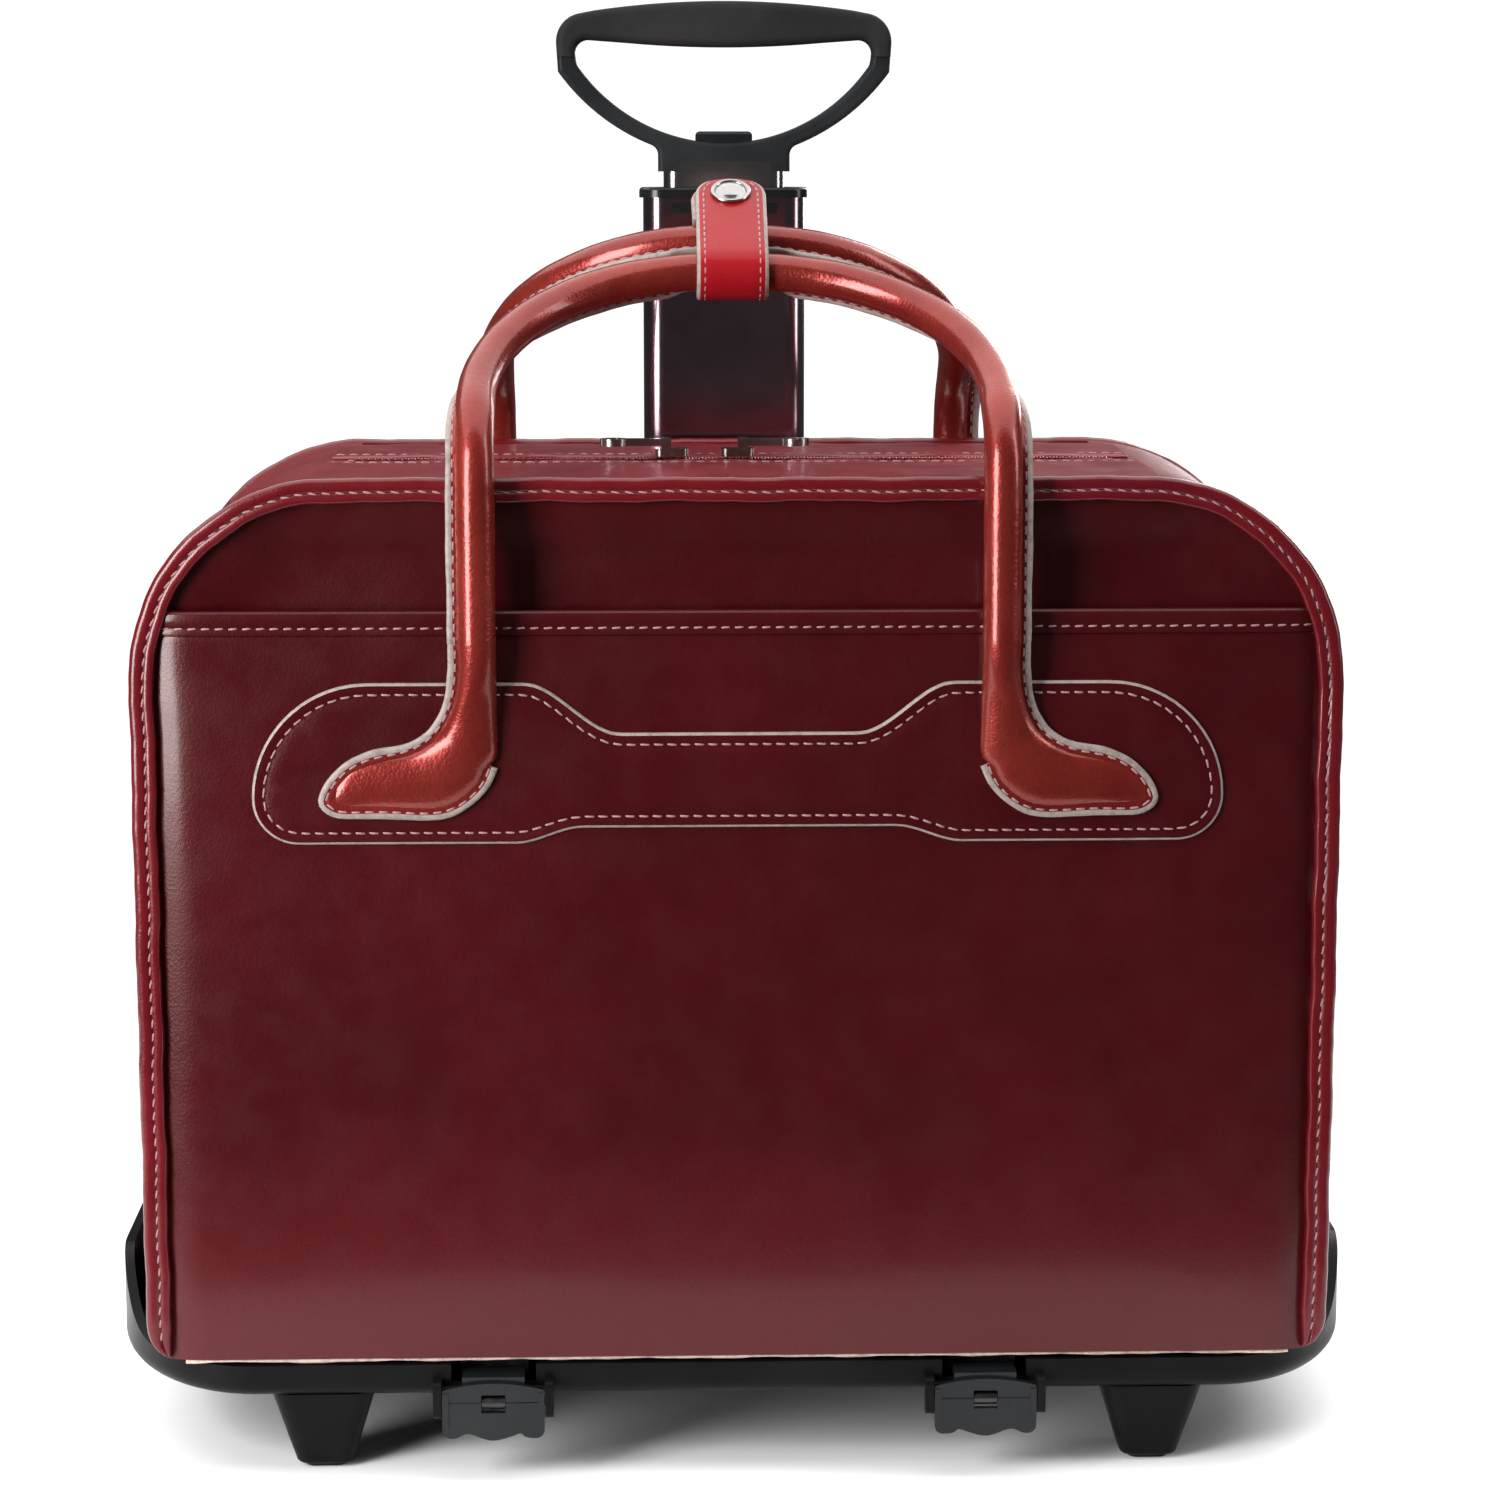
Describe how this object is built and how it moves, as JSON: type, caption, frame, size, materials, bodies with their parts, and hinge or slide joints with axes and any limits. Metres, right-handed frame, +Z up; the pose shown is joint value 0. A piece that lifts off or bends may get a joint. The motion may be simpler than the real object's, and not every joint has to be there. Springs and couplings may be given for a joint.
{
  "type": "rolling laptop case",
  "caption": "Leather laptop bag with two rolled carry handles on a detachable wheeled base with a telescoping handle.",
  "frame": {"origin": "on the floor under the middle of the whole object's box", "axes": "+Z up, the bag's front faces -Y, +X to the right seen from the front"},
  "size_m": [0.452, 0.258, 0.5232],
  "materials": {
    "leather_body": "glossy burnished",
    "leather_top": "glossy",
    "leather_trim": "glossy",
    "leather_handle": "glossy",
    "piping": "matte",
    "lining": "woven",
    "board": "matte",
    "zip_chain": "woven tape",
    "zip_metal": "polished",
    "snap_metal": "polished",
    "catch_steel": "brushed",
    "base_plastic": "fine grain",
    "foot_plastic": "fine grain",
    "foot_rubber": "matte",
    "latch_plastic": "satin",
    "pin_steel": "satin",
    "screw_steel": "black oxide",
    "tyre": "matte",
    "wheel_plastic": "satin",
    "bearing_steel": "satin",
    "tube_black": "satin anodised",
    "tube_bronze": "polished dark anodised",
    "tube_bright": "polished anodised",
    "cap_plastic": "gloss",
    "bush_plastic": "matte",
    "grip_plastic": "gloss",
    "grip_rubber": "matte",
    "button_plastic": "satin"
  },
  "bodies": {
    "base": {"base_tray": "base_plastic", "rear_housing": "base_plastic", "post_socket": "base_plastic", "outer_tube": "tube_black", "post_collar": "base_plastic", "wheel_housings": "base_plastic", "axles": "pin_steel", "front_feet": "foot_plastic", "foot_pads": "foot_rubber", "latch_brackets": "latch_plastic", "latch_pins": "pin_steel", "latch_springs": "pin_steel", "base_screws": "screw_steel"},
    "wheel_left": {"tyre_left": "tyre", "wheel_rim_left": "wheel_plastic", "wheel_bearing_left": "bearing_steel"},
    "wheel_right": {"tyre_right": "tyre", "wheel_rim_right": "wheel_plastic", "wheel_bearing_right": "bearing_steel"},
    "middle_stage": {"middle_tube": "tube_bronze", "middle_bush": "bush_plastic", "middle_cap": "cap_plastic", "middle_inlay": "cap_plastic"},
    "inner_stage": {"inner_tube": "tube_bright", "inner_bush": "bush_plastic", "grip_frame": "grip_plastic", "grip_rubber": "grip_rubber", "button_spring": "pin_steel"},
    "button": {"release_button": "button_plastic", "release_rods": "pin_steel"},
    "latch_left": {"latch_lever_left": "latch_plastic"},
    "latch_right": {"latch_lever_right": "latch_plastic"},
    "bag": {"front_panel": "leather_body", "pocket_panel": "leather_body", "back_panel": "leather_body", "binding_front": "leather_trim", "binding_back": "leather_trim", "bottom_gusset": "leather_body", "side_gusset_left": "leather_body", "side_gusset_right": "leather_body", "top_gusset_front": "leather_top", "top_gusset_back": "leather_top", "zip_chain": "zip_chain", "base_board": "board", "laptop_divider": "lining", "patch_front": "leather_trim", "patch_back": "leather_trim", "handle_tabs_front": "leather_trim", "handle_tabs_back": "leather_trim", "trolley_strap": "leather_trim", "bottom_piping": "piping", "catch_plates": "catch_steel"},
    "zip_left": {"zip_slider_left": "zip_metal"},
    "zip_right": {"zip_slider_right": "zip_metal"},
    "pull_left": {"zip_pull_left": "zip_metal"},
    "pull_right": {"zip_pull_right": "zip_metal"},
    "front_handle": {"handle_front": "leather_handle", "wrap_strap": "leather_handle", "snap_fastener": "snap_metal"},
    "back_handle": {"handle_back": "leather_handle"}
  },
  "joints": [
    {"name": "wheel_left_spin", "type": "hinge", "parent": "base", "child": "wheel_left", "pos_m": [-0.198, 0.101, 0.028], "axis": [1, 0, 0], "continuous": true},
    {"name": "wheel_right_spin", "type": "hinge", "parent": "base", "child": "wheel_right", "pos_m": [0.198, 0.101, 0.028], "axis": [1, 0, 0], "continuous": true},
    {"name": "middle_slide", "type": "slide", "parent": "base", "child": "middle_stage", "axis": [0, 0, 1], "range_m": [-0.095, 0.158]},
    {"name": "inner_slide", "type": "slide", "parent": "middle_stage", "child": "inner_stage", "axis": [0, 0, 1], "range_m": [-0.004, 0.245]},
    {"name": "button_press", "type": "slide", "parent": "inner_stage", "child": "button", "axis": [0, 0, -1], "range_m": [0, 0.004], "stiffness_N_per_m": 600, "springref_m": -0.002, "deforming": ["button_spring"]},
    {"name": "latch_left_turn", "type": "hinge", "parent": "base", "child": "latch_left", "pos_m": [-0.087, -0.1177, 0.0295], "axis": [1, 0, 0], "range_deg": [0, 20], "stiffness_Nm_per_rad": 0.05, "springref_deg": -17.19},
    {"name": "latch_right_turn", "type": "hinge", "parent": "base", "child": "latch_right", "pos_m": [0.087, -0.1177, 0.0295], "axis": [1, 0, 0], "range_deg": [0, 20], "stiffness_Nm_per_rad": 0.05, "springref_deg": -17.19},
    {"name": "bag_lift", "type": "slide", "parent": "base", "child": "bag", "axis": [0, 0, 1], "range_m": [0, 0.5]},
    {"name": "front_handle_tilt", "type": "hinge", "parent": "bag", "child": "front_handle", "pos_m": [0, -0.1223, 0.29], "axis": [1, 0, 0], "range_deg": [0, 150], "deforming": ["wrap_strap", "snap_fastener"]},
    {"name": "back_handle_tilt", "type": "hinge", "parent": "bag", "child": "back_handle", "pos_m": [0, 0.0743, 0.29], "axis": [-1, 0, 0], "range_deg": [0, 28]},
    {"name": "zip_left_slide", "type": "slide", "parent": "bag", "child": "zip_left", "axis": [-1, 0, 0], "range_m": [0, 0.105]},
    {"name": "zip_right_slide", "type": "slide", "parent": "bag", "child": "zip_right", "axis": [1, 0, 0], "range_m": [0, 0.125]},
    {"name": "pull_left_swing", "type": "hinge", "parent": "zip_left", "child": "pull_left", "pos_m": [-0.024, -0.024, 0.3612], "axis": [0, 1, 0], "range_deg": [0, 150]},
    {"name": "pull_right_swing", "type": "hinge", "parent": "zip_right", "child": "pull_right", "pos_m": [0.004, -0.024, 0.3612], "axis": [0, -1, 0], "range_deg": [0, 150]}
  ]
}
